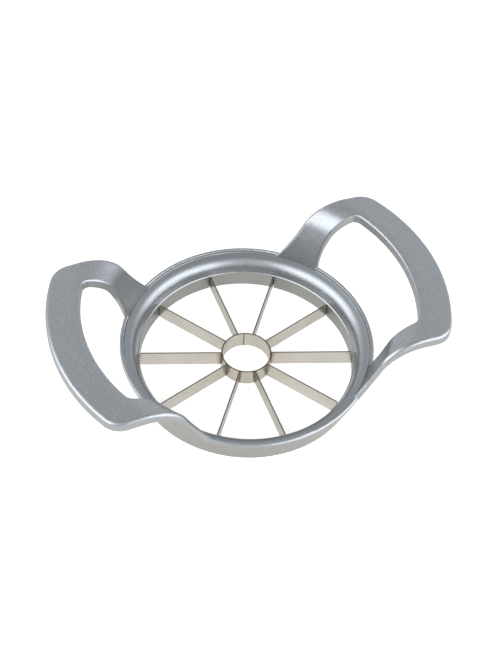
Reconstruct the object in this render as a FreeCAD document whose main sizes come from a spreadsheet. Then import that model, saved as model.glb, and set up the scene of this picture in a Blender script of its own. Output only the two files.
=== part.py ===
import FreeCAD, Part
import math
import os

import Sketcher

# An apple slicer. A cast aluminium frame is a ring with a raised loop handle on each side. Ten steel
# blades run like spokes from slots in the ring to a small core ring, to which they are welded.
# Z is up, the ring stands on Z = 0 and X runs through the middle of both handles.

sizeRows = [
    # the ring in section, from the bore outwards
    ("boreRadius", 46.75, "inside of the ring, where the apple goes through"),
    ("boreHeight", 8.2, "height of the machined bore"),
    ("boreEdge", 0.35, "broken edges of the bore"),
    ("rollInset", 1.97, "from the bore to the corner of the roll"),
    ("rollHeight", 13.08, "corner of the roll before it is rounded"),
    ("rollRound", 6.1, "rounding of the roll"),
    ("bandInset", 1.95, "from the rim to the outer end of the band that rises behind the roll"),
    ("bandHeight", 15.1, "that end of the band"),
    ("bandRound", 0.3, "rounding between the band and the bead"),
    ("beadWidth", 1.7, "width of the bead that ends the rim"),
    ("beadRound", 0.5, "inner rounding of the bead"),
    ("rimRadius", 55.0, "outside of the ring"),
    ("rimHeight", 16.4, "top of the rim"),
    ("rimRound", 1.2, "outer rounding of the bead"),
    ("flareHeight", 14.9, "where the rim's side turns into the slanting skirt"),
    ("footRadius", 50.0, "outside of the skirt at the foot"),
    ("footRound", 0.8, "rounding of the foot"),
    # the handles in section
    ("rootDepth", 4.2, "how deep an arm is rooted in the ring"),
    ("rootHeight", 12.45, "top of that root, inside the ring"),
    ("topFootInset", 2.7, "from the rim to the foot of the arm's upper side"),
    ("topFootHeight", 13.64, "height of that foot, a little below the band"),
    ("topFootRound", 6.0, "hollow rounding of that foot"),
    ("underFootInset", 0.1, "from the rim out to the foot of the arm's lower side"),
    ("underFootHeight", 14.2, "height of that foot"),
    ("bendRadius", 63.1, "where the upper sides of arm and grip would meet"),
    ("bendHeight", 43.9, "height of that corner"),
    ("topBend", 15.0, "rounding of that corner"),
    ("bendShift", 1.15, "from the upper corner out to the lower one"),
    ("underBend", 13.0, "rounding of the lower corner"),
    ("gripThickness", 4.8, "thickness of the grip"),
    ("gripEndHeight", 42.0, "top of the grip at its outer edge"),
    ("trimStock", 2.0, "stock beyond the finished edges, which is trimmed off"),
    ("sweep", 130.0, "angle that a handle's section is turned through before it is trimmed"),
    # the handles seen from above
    ("handleReach", 85.0, "from the axis to the end of a handle"),
    ("handleHalfWidth", 43.4, "from the middle to the outer side of an arm"),
    ("armWidth", 11.2, "width of an arm"),
    ("gripWidth", 14.5, "width of the grip"),
    ("outerArc", 80.6, "radius of the grip's outer side"),
    ("innerArc", 70.7, "radius of the grip's inner side"),
    ("flareStart", 1.0, "from the bead out to where an arm's outer side starts to flare"),
    ("flareRun", 5.8, "length of that flare along X"),
    ("flareDepth", 1.4, "from the bead in to the end of that flare"),
    ("outerRoot", 8.0, "rounding of that flare"),
    ("cornerStart", 2.0, "from the bead out to the opening's corner at the ring"),
    ("cornerRun", 6.35, "from that corner to its end in the ring, along Y"),
    ("cornerDepth", 0.8, "from the bead in to that end"),
    ("innerRoot", 4.0, "rounding of the opening's corner at the ring"),
    ("outerCorner", 9.8, "corner radius outside"),
    ("innerCorner", 4.0, "corner radius inside"),
    ("gripRound", 1.5, "rounding of the grip's upper edge outside"),
    ("armRound", 0.35, "the same rounding at the foot of an arm"),
    ("openingRound", 1.0, "rounding of the opening's upper edge"),
    ("underRound", 0.5, "rounding of the lower edges"),
    ("rimInside", 2.6, "from the rim inwards to where the edges of an arm end in the ring"),
    # the blades and their slots
    ("bladeCount", 10, "blades around the core"),
    ("bladeHeight", 7.9, "height of the blade strip"),
    ("bladeHalf", 0.3, "half the thickness of the blade strip"),
    ("bladeLift", 0.1, "cutting edges above the foot of the ring"),
    ("bevelHeight", 1.2, "height of the ground bevel"),
    ("edgeHalf", 0.06, "half the width left at the cutting edge"),
    ("shoulderGap", 0.2, "from the foot of a blade's shoulder to the bore"),
    ("shoulderRun", 0.35, "slope of the shoulder"),
    ("tabHeight", 5.9, "height of the tab that enters a slot"),
    ("tabDepth", 2.2, "how far the tab enters the ring"),
    ("slotSide", 0.3, "clearance on each side of a tab"),
    ("slotTop", 0.25, "clearance above a tab"),
    ("slotEnd", 0.15, "clearance behind a tab"),
    # the core ring
    ("coreRadius", 11.0, "outside of the core ring"),
    ("coreWall", 0.6, "thickness of its strip"),
    ("seamHalf", 0.06, "half the gap in the butt seam"),
    ("seamAngle", 75.0, "place of the seam, degrees from X"),
]

# places that follow from the sizes, where the handles' outlines meet the bead
placeRows = [
    ("bead", "rimRadius - beadWidth", "inside of the bead"),
    ("openingSide", "handleHalfWidth - armWidth", "from the middle to the inner side of an arm"),
    ("flareX", "sqrt(bead ^ 2 - handleHalfWidth ^ 2) + flareStart", "start of the flare along X"),
    ("flareEndX", "flareX - flareRun", "end of the flare along X"),
    ("flareEndY", "sqrt(bead ^ 2 - flareEndX ^ 2) - flareDepth", "end of the flare along Y"),
    ("cornerX", "sqrt(bead ^ 2 - openingSide ^ 2) + cornerStart", "the opening's corner along X"),
    ("throatY", "openingSide - cornerRun", "end of that corner along Y"),
    ("throatX", "sqrt(bead ^ 2 - throatY ^ 2) - cornerDepth", "end of that corner along X"),
]

doc = FreeCAD.newDocument("AppleSlicer")

sheet = doc.addObject("Spreadsheet::Sheet", "Sizes")
derivedRows = [(alias, "=" + formula, note) for alias, formula, note in placeRows]
for row, (alias, content, note) in enumerate(sizeRows + derivedRows, start=1):
    sheet.set("A%d" % row, alias)
    sheet.set("B%d" % row, str(content))
    sheet.set("C%d" % row, note)
    sheet.setAlias("B%d" % row, alias)
doc.recompute()


def value(expression):
    # the number that a sum of sizes comes to
    total, sign = 0.0, 1
    for word in expression.split():
        if word in ("+", "-"):
            sign = 1 if word == "+" else -1
        else:
            total += sign * (float(sheet.get(word)) if word[0].isalpha() else float(word))
    return total


def bind(thing, name, expression):
    # "rimRadius - beadWidth" is bound as "Sizes.rimRadius - Sizes.beadWidth"
    words = ["Sizes." + word if word[0].isalpha() else word for word in expression.split()]
    thing.setExpression(name, " ".join(words))


def newSketch(body, name, role):
    sketch = body.newObject("Sketcher::SketchObject", name)
    planes = [item for item in body.Origin.OriginFeatures if item.Role == role]
    sketch.AttachmentSupport = [(planes[0], "")]
    sketch.MapMode = "FlatFace"
    return sketch


def dimension(sketch, name, kind, where, expression):
    sketch.addConstraint(Sketcher.Constraint(kind, *where, value(expression)))
    sketch.renameConstraint(sketch.ConstraintCount - 1, name)
    bind(sketch, "Constraints." + name, expression)


def place(sketch, name, point, spot):
    # holds a point of the sketch at a distance from the origin along each axis, or along Y only
    for kind, axis, expression in zip(("DistanceX", "DistanceY"), (-2, -1), spot):
        if not expression:
            continue
        if expression == "0":
            sketch.addConstraint(Sketcher.Constraint("PointOnObject", *point, axis))
        else:
            dimension(sketch, name + kind[-1], kind, (-1, 1, *point), expression)


def drawOutline(sketch, corners, bow=None):
    # a closed outline; a corner with a third entry is rounded by that radius. With a bow, which is
    # a radius and the place of its centre along X, an arc leads from the last corner to the first
    spots = []
    for across, up, *rounding in corners:
        along = value(across) if across else value(bow[1]) + math.sqrt(value(bow[0]) ** 2 - value(up) ** 2)
        spots.append(FreeCAD.Vector(along, value(up), 0))
    lines = [sketch.addGeometry(Part.LineSegment(spot, following)) for spot, following in zip(spots, spots[1:])]
    if bow:
        tip = FreeCAD.Vector(value(bow[1]) + value(bow[0]), 0, 0)
        lines.append(sketch.addGeometry(Part.Arc(spots[-1], tip, spots[0])))
        sketch.addConstraint(Sketcher.Constraint("PointOnObject", lines[-1], 3, -1))
        dimension(sketch, "bow%d" % lines[-1], "Radius", (lines[-1],), bow[0])
        dimension(sketch, "bowCentre%d" % lines[-1], "DistanceX", (-1, 1, lines[-1], 3), bow[1])
    else:
        lines.append(sketch.addGeometry(Part.LineSegment(spots[-1], spots[0])))
    for line, following in zip(lines, lines[1:] + lines[:1]):
        sketch.addConstraint(Sketcher.Constraint("Coincident", line, 2, following, 1))
    for line, corner in zip(lines, corners):
        place(sketch, "corner%d" % line, (line, 1), corner[:2])
    doc.recompute()
    for line, before, corner in zip(lines, lines[-1:] + lines[:-1], corners):
        if len(corner) == 3:
            sketch.fillet(before, 2, value(corner[2]), True, True)
            dimension(sketch, "round%d" % line, "Radius", (sketch.GeometryCount - 2,), corner[2])
    doc.recompute()


def pad(body, name, sketch, length):
    feature = body.newObject("PartDesign::Pad", name)
    feature.Profile = sketch
    bind(feature, "Length", length)
    doc.recompute()
    return feature


def turn(body, name, sketch, angle):
    # turned about Z, half the angle to each side of the sketch
    feature = body.newObject("PartDesign::Revolution", name)
    feature.Profile = sketch
    feature.ReferenceAxis = (sketch, ["V_Axis"])
    feature.Midplane = True
    bind(feature, "Angle", angle)
    doc.recompute()
    return feature


def cutThrough(body, name, sketch):
    feature = body.newObject("PartDesign::Pocket", name)
    feature.Profile = sketch
    feature.Type = "ThroughAll"
    feature.Midplane = True
    doc.recompute()
    return feature


def roundCorners(body, name, base, halfWidth, radius):
    # rounds the two upright edges at the ends of the sides that lie at half a width from the middle
    uprights = []
    for number, edge in enumerate(base.Shape.Edges, start=1):
        middle = edge.CenterOfMass
        upright = edge.Curve.TypeId == "Part::GeomLine" and abs(edge.tangentAt(edge.FirstParameter).z) > 0.99
        onSide = abs(abs(middle.y) - value(halfWidth)) < 0.01
        if upright and onSide and middle.Length > value("bendRadius"):
            uprights.append("Edge%d" % number)
    feature = body.newObject("PartDesign::Fillet", name)
    feature.Base = (base, uprights)
    bind(feature, "Radius", radius)
    doc.recompute()
    return feature


def edgesOf(shape, upper):
    # the edges between a handle's upright walls and its upper side, or its lower side, outside the ring
    found = []
    for number, edge in enumerate(shape.Edges, start=1):
        middle = edge.valueAt((edge.FirstParameter + edge.LastParameter) / 2)
        rises = []
        for face in shape.ancestorsOfType(edge, Part.Face):
            rises.append(face.normalAt(*face.Surface.parameter(middle)).z)
        onWall = [abs(rise) < 0.01 for rise in rises]
        facing = [rise > 0.05 if upper else rise < -0.05 for rise in rises]
        if any(onWall) and any(facing) and math.hypot(middle.x, middle.y) > value("rimRadius - rimInside"):
            found.append((number, edge, middle))
    return found


def atOpening(spot):
    # true for a spot nearer to the finger opening than to the outside of the handle
    acrossArm = value("handleHalfWidth") - value("armWidth") / 2
    acrossGrip = value("innerArc") + value("gripWidth") / 2
    centre = value("handleReach - gripWidth - innerArc")
    return abs(spot.y) < acrossArm and math.hypot(spot.x - centre, spot.y) < acrossGrip


def chainEnds(found):
    # the two ends of each edge, in the order in which its chain of edges runs on from the first one
    ends = {}
    waiting = [(number, edge.valueAt(edge.FirstParameter), edge.valueAt(edge.LastParameter))
               for number, edge, middle in found]
    while waiting:
        following = waiting[0]
        for number, start, end in waiting:
            for before, after in ends.values():
                if start.isEqual(after, 0.001) or end.isEqual(before, 0.001):
                    following = (number, start, end)
                elif start.isEqual(before, 0.001) or end.isEqual(after, 0.001):
                    following = (number, end, start)
        ends[following[0]] = following[1:]
        waiting = [item for item in waiting if item[0] != following[0]]
    return ends


def roundUpper(name, base):
    # even along the opening; outside it grows with height, from the foot of the arms to the grip
    low, high = value("rimHeight"), value("gripEndHeight - gripThickness")
    edges = []
    found = edgesOf(base.Shape, True)
    ends = chainEnds(found)
    for number, edge, middle in found:
        radii = []
        for end in ends[number]:
            share = min(max((end.z - low) / (high - low), 0), 1)
            grown = value("armRound") + share * value("gripRound - armRound")
            radii.append(value("openingRound") if atOpening(middle) else grown)
        edges.append((number, *radii))
    return roundEdges(name, base, edges)


def roundLower(name, base):
    edges = []
    for number, edge, middle in edgesOf(base.Shape, False):
        edges.append((number, value("underRound"), value("underRound")))
    return roundEdges(name, base, edges)


def roundEdges(name, base, edges):
    rounded = doc.addObject("Part::Fillet", name)
    rounded.Base = base
    rounded.Edges = edges
    doc.recompute()
    return rounded


# The ring
ring = doc.addObject("PartDesign::Body", "Ring")
ringSection = newSketch(ring, "RingSection", "XZ_Plane")
drawOutline(ringSection, [
    ("boreRadius + boreEdge", "0"),
    ("boreRadius", "boreEdge"),
    ("boreRadius", "boreHeight - boreEdge"),
    ("boreRadius + boreEdge", "boreHeight"),
    ("boreRadius + rollInset", "rollHeight", "rollRound"),
    ("rimRadius - bandInset", "bandHeight", "bandRound"),
    ("rimRadius - beadWidth", "rimHeight", "beadRound"),
    ("rimRadius", "rimHeight", "rimRound"),
    ("rimRadius", "flareHeight"),
    ("footRadius", "0", "footRound"),
])
turn(ring, "RingTurned", ringSection, "360")

# One handle: a band turned with the ring, then trimmed to its outline
handle = doc.addObject("PartDesign::Body", "Handle")
handleSection = newSketch(handle, "HandleSection", "XZ_Plane")
drawOutline(handleSection, [
    ("rimRadius - rootDepth", "underFootHeight - rootDepth"),
    ("rimRadius - rootDepth", "rootHeight"),
    ("rimRadius - topFootInset", "topFootHeight", "topFootRound"),
    ("bendRadius", "bendHeight", "topBend"),
    ("handleReach + trimStock", "gripEndHeight"),
    ("handleReach + trimStock", "gripEndHeight - gripThickness"),
    ("bendRadius + bendShift", "bendHeight - gripThickness", "underBend"),
    ("rimRadius + underFootInset", "underFootHeight"),
])
turn(handle, "HandleTurned", handleSection, "sweep")
handlePlan = newSketch(handle, "HandlePlan", "XY_Plane")
drawOutline(handlePlan, [
    ("0 - trimStock", "0 - handleReach - trimStock"),
    ("handleReach + trimStock + trimStock", "0 - handleReach - trimStock"),
    ("handleReach + trimStock + trimStock", "handleReach + trimStock"),
    ("0 - trimStock", "handleReach + trimStock"),
])
drawOutline(handlePlan, [
    (None, "handleHalfWidth"),
    ("flareX", "handleHalfWidth", "outerRoot"),
    ("flareEndX", "flareEndY"),
    ("flareEndX", "0 - flareEndY"),
    ("flareX", "0 - handleHalfWidth", "outerRoot"),
    (None, "0 - handleHalfWidth"),
], ("outerArc", "handleReach - outerArc"))
cutThrough(handle, "HandleTrimmed", handlePlan)
openingPlan = newSketch(handle, "OpeningPlan", "XY_Plane")
drawOutline(openingPlan, [
    (None, "openingSide"),
    ("cornerX", "openingSide", "innerRoot"),
    ("throatX", "throatY"),
    ("0", "throatY"),
    ("0", "0 - throatY"),
    ("throatX", "0 - throatY"),
    ("cornerX", "0 - openingSide", "innerRoot"),
    (None, "0 - openingSide"),
], ("innerArc", "handleReach - gripWidth - innerArc"))
cutThrough(handle, "FingerOpening", openingPlan)
roundCorners(handle, "OuterCorners", handle.Tip, "handleHalfWidth", "outerCorner")
roundCorners(handle, "InnerCorners", handle.Tip, "openingSide", "innerCorner")
upperRound = roundUpper("HandleUpperEdges", handle)
lowerRound = roundLower("HandleLowerEdges", upperRound)

otherHandle = doc.addObject("Part::Mirroring", "OtherHandle")
otherHandle.Source = lowerRound
otherHandle.Normal = (1, 0, 0)

casting = doc.addObject("Part::MultiFuse", "Casting")
casting.Shapes = [ring, lowerRound, otherHandle]
doc.recompute()


def stepAngle(item, steps):
    # turns an item about Z by a number of steps from one blade to the next
    item.Placement = FreeCAD.Placement(FreeCAD.Vector(), FreeCAD.Rotation(FreeCAD.Vector(0, 0, 1), 1))
    item.setExpression("Placement.Rotation.Angle", "%s * 360 / Sizes.bladeCount" % steps)


# The slots in the bore, open at the foot
slots = doc.addObject("PartDesign::Body", "Slots")
slotPlan = newSketch(slots, "SlotPlan", "XY_Plane")
drawOutline(slotPlan, [
    ("boreRadius - trimStock", "0 - bladeHalf - slotSide"),
    ("boreRadius + tabDepth + slotEnd", "0 - bladeHalf - slotSide"),
    ("boreRadius + tabDepth + slotEnd", "bladeHalf + slotSide"),
    ("boreRadius - trimStock", "bladeHalf + slotSide"),
])
oneSlot = pad(slots, "Slot", slotPlan, "bladeLift + tabHeight + slotTop")
slotPattern = slots.newObject("PartDesign::PolarPattern", "SlotPattern")
slotPattern.Originals = [oneSlot]
slotPattern.Axis = (slotPlan, ["N_Axis"])
slotPattern.Angle = 360
bind(slotPattern, "Occurrences", "bladeCount")
slots.Tip = slotPattern
stepAngle(slots, "0.5")

frame = doc.addObject("Part::Cut", "Frame")
frame.Base = casting
frame.Tool = slots
frame.Label = "frame"
doc.recompute()


def makeBlade(number):
    # a strip with a ground lower edge, whose outer end is cut down to a tab
    blade = doc.addObject("PartDesign::Body", "Blade%02d" % number)
    section = newSketch(blade, "BladeSection%02d" % number, "YZ_Plane")
    drawOutline(section, [
        ("edgeHalf", "bladeLift"),
        ("bladeHalf", "bladeLift + bevelHeight"),
        ("bladeHalf", "bladeLift + bladeHeight"),
        ("0 - bladeHalf", "bladeLift + bladeHeight"),
        ("0 - bladeHalf", "bladeLift + bevelHeight"),
        ("0 - edgeHalf", "bladeLift"),
    ])
    bind(section, "AttachmentOffset.Base.z", "coreRadius")
    pad(blade, "BladeStrip%02d" % number, section, "boreRadius + tabDepth - coreRadius")
    shoulder = newSketch(blade, "BladeShoulder%02d" % number, "XZ_Plane")
    drawOutline(shoulder, [
        ("boreRadius - shoulderGap", "bladeLift + tabHeight"),
        ("boreRadius + tabDepth + trimStock", "bladeLift + tabHeight"),
        ("boreRadius + tabDepth + trimStock", "bladeLift + bladeHeight + trimStock"),
        ("boreRadius - shoulderGap - shoulderRun", "bladeLift + bladeHeight + trimStock"),
        ("boreRadius - shoulderGap - shoulderRun", "bladeLift + bladeHeight"),
    ])
    cutThrough(blade, "BladeTab%02d" % number, shoulder)
    stepAngle(blade, "%.1f" % (number - 0.5))
    blade.Label = "blade_%02d" % number
    return blade


# The core ring: a bent strip with a butt seam
core = doc.addObject("PartDesign::Body", "CoreRing")
coreSection = newSketch(core, "CoreSection", "XZ_Plane")
drawOutline(coreSection, [
    ("coreRadius - coreWall", "bladeLift"),
    ("coreRadius", "bladeLift"),
    ("coreRadius", "bladeLift + bladeHeight"),
    ("coreRadius - coreWall", "bladeLift + bladeHeight"),
])
turn(core, "CoreStrip", coreSection, "360")
seamPlan = newSketch(core, "SeamPlan", "XY_Plane")
drawOutline(seamPlan, [
    ("coreRadius - coreWall - trimStock", "0 - seamHalf"),
    ("coreRadius + trimStock", "0 - seamHalf"),
    ("coreRadius + trimStock", "seamHalf"),
    ("coreRadius - coreWall - trimStock", "seamHalf"),
])
bind(seamPlan, "AttachmentOffset.Rotation.Angle", "seamAngle")
cutThrough(core, "Seam", seamPlan)
core.Label = "core_ring"

parts = [frame, core]
for number in range(1, int(value("bladeCount")) + 1):
    parts.append(makeBlade(number))
doc.recompute()

for item in doc.Objects:
    if "Invalid" in item.State or "Error" in item.State:
        raise RuntimeError("%s did not rebuild" % item.Name)
for part in parts:
    if part.Shape.isNull() or not part.Shape.isValid():
        raise RuntimeError("%s has no valid solid" % part.Label)
    print(part.Label, len(part.Shape.Solids), "solid", round(part.Shape.Volume, 2), "cubic mm")

os.makedirs("parts", exist_ok=True)
for part in parts:
    part.Shape.exportStep(os.path.join("parts", part.Label + ".step"))
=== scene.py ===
import math

import bpy
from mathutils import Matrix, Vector

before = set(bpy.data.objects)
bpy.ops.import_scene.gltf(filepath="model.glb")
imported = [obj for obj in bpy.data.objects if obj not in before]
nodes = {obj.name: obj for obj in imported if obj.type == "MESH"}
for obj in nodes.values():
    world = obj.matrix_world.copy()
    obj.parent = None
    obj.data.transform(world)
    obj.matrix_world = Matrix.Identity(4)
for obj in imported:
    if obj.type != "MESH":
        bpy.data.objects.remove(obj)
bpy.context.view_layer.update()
blades = sorted(name for name in nodes if name.startswith("blade_"))
print("frame loaded:", len(nodes), "pieces,", len(blades), "of them blades")

scene = bpy.context.scene
scene.view_settings.view_transform = "Standard"

view = {
    "place": (-0.14754, -0.33133, 0.46355),   # metres, about 0.58 m from the ring
    "turn": (39.632, -2.768, -20.769),        # degrees
    "lens": 73.78,
    "sensor": 36,
    "nearest": 0.01,
}


def makeCamera():
    camera = bpy.data.objects.new("camera", bpy.data.cameras.new("camera"))
    scene.collection.objects.link(camera)
    camera.location = view["place"]
    camera.rotation_euler = [math.radians(angle) for angle in view["turn"]]
    camera.data.lens = view["lens"]
    camera.data.sensor_width = view["sensor"]
    camera.data.clip_start = view["nearest"]
    scene.camera = camera


# two big soft boxes beside the camera, with a gap between them, in a white room
boxSize = (1.9, 1.25)
studio = {
    "fill": 0.15,                  # what the room adds to dull surfaces
    "ceiling": (0.7, 0.7, 0.7),    # the room is greyer overhead
    "overhead": (0.55, 1.0),       # from this height on a unit sphere up to the top
    "aim": (0, 0, 0.02),
    "leftBox": {"bearing": 178, "rise": 33, "distance": 1.3, "size": boxSize, "shine": 2.4},
    "rightBox": {"bearing": 314, "rise": 23, "distance": 1.3, "size": boxSize, "shine": 2.4},
}


def makeLamp(name, bearing, rise, distance, size, shine):
    lamp = bpy.data.objects.new(name, bpy.data.lights.new(name, "AREA"))
    scene.collection.objects.link(lamp)
    bearing, rise = math.radians(bearing), math.radians(rise)
    lamp.location = (distance * math.cos(rise) * math.cos(bearing),
                     distance * math.cos(rise) * math.sin(bearing),
                     distance * math.sin(rise))
    towards = Vector(studio["aim"]) - lamp.location
    lamp.rotation_euler = towards.to_track_quat("-Z", "Y").to_euler()
    lamp.data.shape = "RECTANGLE"
    lamp.data.size, lamp.data.size_y = size
    lamp.data.energy = shine * math.pi * size[0] * size[1]   # shine 1 looks white in a mirror
    lamp.visible_camera = False


def addNode(tree, kind, **settings):
    node = tree.nodes.new(kind)
    for name, value in settings.items():
        setattr(node, name, value)
    return node


def maths(tree, operation, *values):
    # each value is a number or the output of another node
    node = addNode(tree, "ShaderNodeMath", operation=operation)
    for place, value in enumerate(values):
        if isinstance(value, (int, float)):
            node.inputs[place].default_value = value
        else:
            tree.links.new(value, node.inputs[place])
    return node.outputs[0]


def ramp(tree, value, start, end):
    # 0 at start, 1 at end, eased
    node = addNode(tree, "ShaderNodeMapRange", interpolation_type="SMOOTHSTEP", clamp=True)
    node.inputs["From Min"].default_value = start
    node.inputs["From Max"].default_value = end
    tree.links.new(value, node.inputs["Value"])
    return node.outputs["Result"]


def blendColour(tree, mask, first, second):
    node = addNode(tree, "ShaderNodeMix", data_type="RGBA", clamp_factor=True)
    tree.links.new(mask, node.inputs[0])
    for place, value in ((6, first), (7, second)):   # the two colour inputs
        if isinstance(value, tuple):
            node.inputs[place].default_value = (*value, 1)
        else:
            tree.links.new(value, node.inputs[place])
    return node.outputs[2]                           # the colour output


def seenOrMirrored(tree):
    # 1 for what the camera sees straight, in a mirror or through glass
    path = addNode(tree, "ShaderNodeLightPath")
    mirrored = maths(tree, "MAXIMUM", path.outputs["Is Glossy Ray"], path.outputs["Is Transmission Ray"])
    return maths(tree, "MAXIMUM", path.outputs["Is Camera Ray"], mirrored)


def makeWorld():
    world = bpy.data.worlds.new("room")
    world.use_nodes = True
    scene.world = world
    tree = world.node_tree
    dull = tree.nodes["Background"]
    dull.inputs["Color"].default_value = (1, 1, 1, 1)
    dull.inputs["Strength"].default_value = studio["fill"]
    white = addNode(tree, "ShaderNodeBackground")
    white.inputs["Strength"].default_value = 1
    split = addNode(tree, "ShaderNodeSeparateXYZ")
    tree.links.new(addNode(tree, "ShaderNodeTexCoord").outputs["Generated"], split.inputs[0])
    overhead = ramp(tree, split.outputs[2], *studio["overhead"])
    tree.links.new(blendColour(tree, overhead, (1, 1, 1), studio["ceiling"]), white.inputs["Color"])
    mix = addNode(tree, "ShaderNodeMixShader")
    tree.links.new(seenOrMirrored(tree), mix.inputs[0])
    tree.links.new(dull.outputs[0], mix.inputs[1])
    tree.links.new(white.outputs[0], mix.inputs[2])
    tree.links.new(mix.outputs[0], tree.nodes["World Output"].inputs["Surface"])


# white paper: its glow is seen but lights nothing, so the shadow stays faint
paper = {"size": 1.6, "colour": (0.72, 0.72, 0.72, 1), "glow": 0.8, "drop": 0.0002}


def makeFloor():
    bpy.ops.object.select_all(action="DESELECT")
    bpy.ops.mesh.primitive_plane_add(size=paper["size"], location=(0, 0, -paper["drop"]))
    floor = bpy.context.object
    floor.name = "floor"
    material = bpy.data.materials.new("floor_paper")
    material.use_nodes = True
    tree = material.node_tree
    tree.nodes.clear()
    dull = addNode(tree, "ShaderNodeBsdfDiffuse")
    dull.inputs["Color"].default_value = paper["colour"]
    glow = addNode(tree, "ShaderNodeEmission")
    tree.links.new(maths(tree, "MULTIPLY", seenOrMirrored(tree), paper["glow"]), glow.inputs["Strength"])
    both = addNode(tree, "ShaderNodeAddShader")
    tree.links.new(dull.outputs[0], both.inputs[0])
    tree.links.new(glow.outputs[0], both.inputs[1])
    out = addNode(tree, "ShaderNodeOutputMaterial")
    tree.links.new(both.outputs[0], out.inputs["Surface"])
    floor.data.materials.append(material)


perMetre = 1000.0       # millimetres
halfTurn = 180          # degrees


def newGroup(name, inputs, outputs):
    group = bpy.data.node_groups.new(name, "ShaderNodeTree")
    for label, default in inputs:
        socket = group.interface.new_socket(label, in_out="INPUT", socket_type="NodeSocketFloat")
        socket.default_value = default
    for label in outputs:
        group.interface.new_socket(label, in_out="OUTPUT", socket_type="NodeSocketFloat")
    return group, addNode(group, "NodeGroupInput"), addNode(group, "NodeGroupOutput")


def placeGroup(tree, group, **values):
    node = addNode(tree, "ShaderNodeGroup", node_tree=group)
    for name, value in values.items():
        node.inputs[name].default_value = value
    return node


def placeAndRadius(tree):
    # where a point lies on its piece and how far from the ring's axis, in metres
    split = addNode(tree, "ShaderNodeSeparateXYZ")
    tree.links.new(addNode(tree, "ShaderNodeTexCoord").outputs["Object"], split.inputs[0])
    x, y, z = split.outputs
    squares = maths(tree, "ADD", maths(tree, "MULTIPLY", x, x), maths(tree, "MULTIPLY", y, y))
    return x, y, z, maths(tree, "SQRT", squares)


def makeTurnedPlaces():
    # radius in millimetres, bearing in degrees, and lie: 1 on faces that look up, 0 on upright ones
    group, _, out = newGroup("turnedPlaces", [], ["radius", "bearing", "lie"])
    x, y, z, radius = placeAndRadius(group)
    bearing = maths(group, "MULTIPLY", maths(group, "ARCTAN2", y, x), halfTurn / math.pi)
    normal = addNode(group, "ShaderNodeSeparateXYZ")
    group.links.new(addNode(group, "ShaderNodeNewGeometry").outputs["Normal"], normal.inputs[0])
    group.links.new(maths(group, "MULTIPLY", radius, perMetre), out.inputs["radius"])
    group.links.new(bearing, out.inputs["bearing"])
    group.links.new(normal.outputs[2], out.inputs["lie"])
    return group


def makeFlecks():
    # metal flake in the coat and the small unevenness of a casting, both sizes in millimetres
    group, given, out = newGroup("metalFlecks", [("flake", 0.35), ("waves", 6.0)], ["flake", "waves"])
    place = addNode(group, "ShaderNodeTexCoord").outputs["Object"]
    cell = addNode(group, "ShaderNodeTexVoronoi", feature="F1")
    group.links.new(place, cell.inputs["Vector"])
    group.links.new(maths(group, "DIVIDE", perMetre, given.outputs["flake"]), cell.inputs["Scale"])
    shade = addNode(group, "ShaderNodeSeparateColor")
    group.links.new(cell.outputs["Color"], shade.inputs[0])
    fine = addNode(group, "ShaderNodeTexNoise")
    fine.inputs["Detail"].default_value = 3
    group.links.new(place, fine.inputs["Vector"])
    group.links.new(maths(group, "DIVIDE", perMetre, given.outputs["waves"]), fine.inputs["Scale"])
    group.links.new(shade.outputs[0], out.inputs["flake"])
    group.links.new(fine.outputs["Fac"], out.inputs["waves"])
    return group


# the noise that draws the tool's lines, stretched along the lines
streak = {
    "across": 90.0,      # scale on a circle of radius 1
    "acrossRise": 4.0,   # how much faster than that it changes along the radius
    "round": 3500.0,     # scale along the radius and the height, per metre
    "roundRun": 0.01,    # and only this share of it along x
}


def makeStreaks():
    # fine lines along the radius ("across") and round the axis ("round"), as tools and buffing leave them
    group, given, out = newGroup("toolStreaks", [("fineness", 1.0)], ["across", "round"])
    x, y, z, radius = placeAndRadius(group)
    turn = addNode(group, "ShaderNodeCombineXYZ")   # a point on the unit circle has no seam
    group.links.new(maths(group, "DIVIDE", x, radius), turn.inputs[0])
    group.links.new(maths(group, "DIVIDE", y, radius), turn.inputs[1])
    group.links.new(maths(group, "MULTIPLY", radius, streak["acrossRise"]), turn.inputs[2])
    lanes = addNode(group, "ShaderNodeCombineXYZ")
    group.links.new(maths(group, "MULTIPLY", x, streak["roundRun"]), lanes.inputs[0])
    group.links.new(radius, lanes.inputs[1])
    group.links.new(z, lanes.inputs[2])
    for label, place, detail in (("across", turn, 3), ("round", lanes, 2)):
        lines = addNode(group, "ShaderNodeTexNoise")
        lines.inputs["Detail"].default_value = detail
        group.links.new(place.outputs[0], lines.inputs["Vector"])
        scale = maths(group, "MULTIPLY", given.outputs["fineness"], streak[label])
        group.links.new(scale, lines.inputs["Scale"])
        group.links.new(lines.outputs["Fac"], out.inputs[label])
    return group


def besideSpoke(tree, bearing, first, step):
    # how far a bearing is from the nearest of evenly spread spokes, as a share of the step between them
    turns = maths(tree, "DIVIDE", maths(tree, "SUBTRACT", bearing, first), step)
    return maths(tree, "ABSOLUTE", maths(tree, "SUBTRACT", turns, maths(tree, "ROUND", turns)))


def awayFrom(tree, value, middle):
    return maths(tree, "ABSOLUTE", maths(tree, "SUBTRACT", value, middle))


def newMetal(name, look):
    material = bpy.data.materials.new(name)
    material.use_nodes = True
    metal = material.node_tree.nodes["Principled BSDF"]
    metal.inputs["Metallic"].default_value = look["metallic"]
    metal.inputs["Specular Tint"].default_value = look["grazing"]
    return material, material.node_tree, metal


def addRoughness(tree, metal, look, lines):
    # the lines make it a little smoother or rougher than the middle value
    lowest = look["roughness"] - look["lining"] / 2
    tree.links.new(maths(tree, "MULTIPLY_ADD", lines, look["lining"], lowest), metal.inputs["Roughness"])


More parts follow.
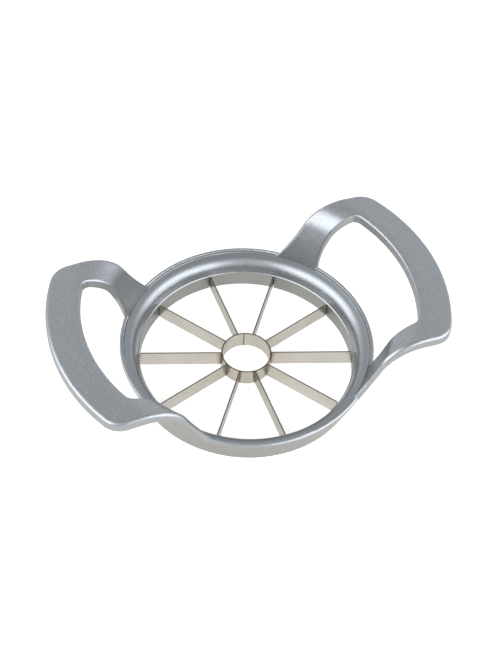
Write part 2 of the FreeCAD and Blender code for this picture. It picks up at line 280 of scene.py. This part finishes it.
def addBump(tree, metal, height, depth):
    bump = addNode(tree, "ShaderNodeBump")
    bump.inputs["Strength"].default_value = 1
    bump.inputs["Distance"].default_value = depth
    tree.links.new(height, bump.inputs["Height"])
    tree.links.new(bump.outputs[0], metal.inputs["Normal"])


makeCamera()
makeWorld()
for name in ("leftBox", "rightBox"):
    makeLamp(name, **studio[name])
makeFloor()
turnedPlaces = makeTurnedPlaces()
metalFlecks = makeFlecks()
toolStreaks = makeStreaks()
print("view, light, floor and finish groups ready")


castCoat = {
    "colour": (0.338, 0.364, 0.392),      # silver grey of the upper faces
    "dark": (0.292, 0.315, 0.340),        # the darkest flakes
    "bright": (0.41, 0.435, 0.46),        # the brightest flakes
    "brightFrom": 0.82,
    "grooveShade": (0.250, 0.271, 0.293),      # painted shade in the groove between the roll and the bead
    "side": (0.345, 0.35, 0.35),          # painted reflection: upright faces take this colour in place of the coat's
    "skirt": (0.295, 0.290, 0.272),       # painted warm reflection on faces that look down, as on the skirt drawn in towards the foot
    "bore": (0.290, 0.290, 0.278),        # machined
    "metallic": 0.92,                     # the coat's binder scatters the rest
    "grazing": (0.75, 0.75, 0.75, 1),     # and dulls the mirror at low angles
    "roughness": 0.33,
    "brushing": 0.05,                     # differences in roughness between brushed lines
    "graining": 0.08,                     # and between flakes
    "flake": 0.33,                        # millimetres
    "waves": 7.0,                         # millimetres
    "waveDepth": 0.00006,                 # metres
    # where one colour fades into the next (the painted reflections on upright and downward faces): lie
    # from none to all of it
    "sideLie": (0.34, 0.08),
    "downLie": (-0.8, -0.5),
    "skirtLie": (-0.15, -0.3),
    # the same in millimetres from the axis (the machined bore and the painted groove shade)
    "boreRadius": (46.87, 46.77),
    "grooveRadius": 51.6,
    "grooveHalf": (1.9, 0.7),             # millimetres to either side of that
}


def makeCastCoat():
    material, tree, metal = newMetal("cast_coat", castCoat)
    where = placeGroup(tree, turnedPlaces)
    flecks = placeGroup(tree, metalFlecks, flake=castCoat["flake"], waves=castCoat["waves"])
    streaks = placeGroup(tree, toolStreaks, fineness=1.0)
    lie, radius, flake = where.outputs["lie"], where.outputs["radius"], flecks.outputs["flake"]

    coat = blendColour(tree, ramp(tree, flake, 0, 1), castCoat["dark"], castCoat["colour"])
    coat = blendColour(tree, ramp(tree, flake, castCoat["brightFrom"], 1), coat, castCoat["bright"])
    # painted shade darkens the groove between the roll and the bead
    fromGroove = awayFrom(tree, radius, castCoat["grooveRadius"])
    coat = blendColour(tree, ramp(tree, fromGroove, *castCoat["grooveHalf"]), coat, castCoat["grooveShade"])
    # painted reflection: upright faces and faces that look down take their own colours
    notUp, notDown = ramp(tree, lie, *castCoat["sideLie"]), ramp(tree, lie, *castCoat["downLie"])
    coat = blendColour(tree, maths(tree, "MULTIPLY", notUp, notDown), coat, castCoat["side"])
    coat = blendColour(tree, ramp(tree, lie, *castCoat["skirtLie"]), coat, castCoat["skirt"])
    coat = blendColour(tree, ramp(tree, radius, *castCoat["boreRadius"]), coat, castCoat["bore"])
    tree.links.new(coat, metal.inputs["Base Color"])

    lowest = castCoat["roughness"] - (castCoat["brushing"] + castCoat["graining"]) / 2
    brushed = maths(tree, "MULTIPLY_ADD", streaks.outputs["across"], castCoat["brushing"], lowest)
    grained = maths(tree, "MULTIPLY_ADD", flake, castCoat["graining"], brushed)
    tree.links.new(grained, metal.inputs["Roughness"])
    addBump(tree, metal, flecks.outputs["waves"], castCoat["waveDepth"])
    return material


bladeSteel = {
    "colour": (0.575, 0.55, 0.50),
    "dull": (0.455, 0.43, 0.38),
    "tint": (0.36, 0.29, 0.20),           # straw and brown beside the welds
    "burn": (0.07, 0.045, 0.025),         # scale right at the welds
    "spine": (0.17, 0.15, 0.13),
    "metallic": 1,
    "grazing": (0.65, 0.65, 0.65, 1),     # dull at low angles
    "roughness": 0.24,
    "lining": 0.14,
    "lineDepth": 0.00003,                 # metres
    "spots": 0.6,                         # millimetres
    "patches": 9.0,                       # millimetres
    # how far out from the core the heat shows, millimetres from the axis, from none to all of it
    "tintRadius": (13.2, 11.4),
    "tintUneven": 2.2,
    "burnRadius": (11.42, 11.12),
    # the welding arc burnt one pair of blades more than the others
    "burntBlade": 162,                    # degrees, and the one opposite
    "burntWidth": (0.1, 0.06),            # share of half a turn
    "elsewhere": 0.25,                    # how much of the heat the other blades show
    "spineLie": (0.55, 0.9),
}


def makeBladeSteel():
    material, tree, metal = newMetal("blade_steel", bladeSteel)
    where = placeGroup(tree, turnedPlaces)
    flecks = placeGroup(tree, metalFlecks, flake=bladeSteel["spots"], waves=bladeSteel["patches"])
    streaks = placeGroup(tree, toolStreaks, fineness=0.8)
    radius, patches = where.outputs["radius"], flecks.outputs["waves"]

    fromPair = besideSpoke(tree, where.outputs["bearing"], bladeSteel["burntBlade"], halfTurn)
    onPair = ramp(tree, fromPair, *bladeSteel["burntWidth"])
    burnt = maths(tree, "MULTIPLY_ADD", onPair, 1 - bladeSteel["elsewhere"], bladeSteel["elsewhere"])
    uneven = maths(tree, "MULTIPLY_ADD", patches, bladeSteel["tintUneven"], -bladeSteel["tintUneven"] / 2)
    reach = ramp(tree, maths(tree, "ADD", radius, uneven), *bladeSteel["tintRadius"])
    atWeld = ramp(tree, radius, *bladeSteel["burnRadius"])

    steel = blendColour(tree, patches, bladeSteel["dull"], bladeSteel["colour"])
    steel = blendColour(tree, maths(tree, "MULTIPLY", reach, burnt), steel, bladeSteel["tint"])
    steel = blendColour(tree, maths(tree, "MULTIPLY", atWeld, burnt), steel, bladeSteel["burn"])
    onSpine = ramp(tree, where.outputs["lie"], *bladeSteel["spineLie"])
    steel = blendColour(tree, onSpine, steel, bladeSteel["spine"])
    tree.links.new(steel, metal.inputs["Base Color"])

    addRoughness(tree, metal, bladeSteel, streaks.outputs["round"])
    addBump(tree, metal, streaks.outputs["round"], bladeSteel["lineDepth"])
    return material


coreSteel = {
    "colour": (0.55, 0.52, 0.47),
    "dull": (0.42, 0.395, 0.35),
    "tint": (0.36, 0.31, 0.225),          # heat beside the welds, only outside
    "edge": (0.12, 0.105, 0.09),          # the upper edge and the seam
    "metallic": 1,
    "grazing": (0.7, 0.7, 0.7, 1),        # dull at low angles
    "roughness": 0.25,
    "lining": 0.12,
    "lineDepth": 0.00003,                 # metres
    "spots": 0.5,                         # millimetres
    "patches": 5.0,                       # millimetres
    "firstWeld": 18,                      # degrees
    "weldStep": 36,                       # degrees from one blade to the next
    "weldWidth": (0.2, 0.05),             # share of that step
    "tintPatches": (0.3, 0.6),
    "outside": (10.8, 10.9),              # millimetres from the axis
    "seam": 75,                           # degrees
    "seamWidth": (2.4, 1.0),              # degrees
    "edgeLie": (0.5, 0.9),
}


def makeCoreSteel():
    material, tree, metal = newMetal("core_steel", coreSteel)
    where = placeGroup(tree, turnedPlaces)
    flecks = placeGroup(tree, metalFlecks, flake=coreSteel["spots"], waves=coreSteel["patches"])
    streaks = placeGroup(tree, toolStreaks, fineness=0.7)
    bearing, patches = where.outputs["bearing"], flecks.outputs["waves"]

    fromWeld = besideSpoke(tree, bearing, coreSteel["firstWeld"], coreSteel["weldStep"])
    heat = maths(tree, "MULTIPLY", ramp(tree, fromWeld, *coreSteel["weldWidth"]),
                 ramp(tree, patches, *coreSteel["tintPatches"]))
    heat = maths(tree, "MULTIPLY", heat, ramp(tree, where.outputs["radius"], *coreSteel["outside"]))
    onEdge = ramp(tree, where.outputs["lie"], *coreSteel["edgeLie"])
    onSeam = ramp(tree, awayFrom(tree, bearing, coreSteel["seam"]), *coreSteel["seamWidth"])

    steel = blendColour(tree, patches, coreSteel["dull"], coreSteel["colour"])
    steel = blendColour(tree, heat, steel, coreSteel["tint"])
    steel = blendColour(tree, onEdge, steel, coreSteel["edge"])
    steel = blendColour(tree, onSeam, steel, coreSteel["edge"])
    tree.links.new(steel, metal.inputs["Base Color"])

    addRoughness(tree, metal, coreSteel, streaks.outputs["round"])
    addBump(tree, metal, streaks.outputs["round"], coreSteel["lineDepth"])
    return material


def dress(node, material):
    piece = nodes[node]
    piece.data.materials.clear()
    piece.data.materials.append(material)


dress("frame", makeCastCoat())
dress("core_ring", makeCoreSteel())
steel = makeBladeSteel()
for name in blades:
    dress(name, steel)
print("finishes ready")
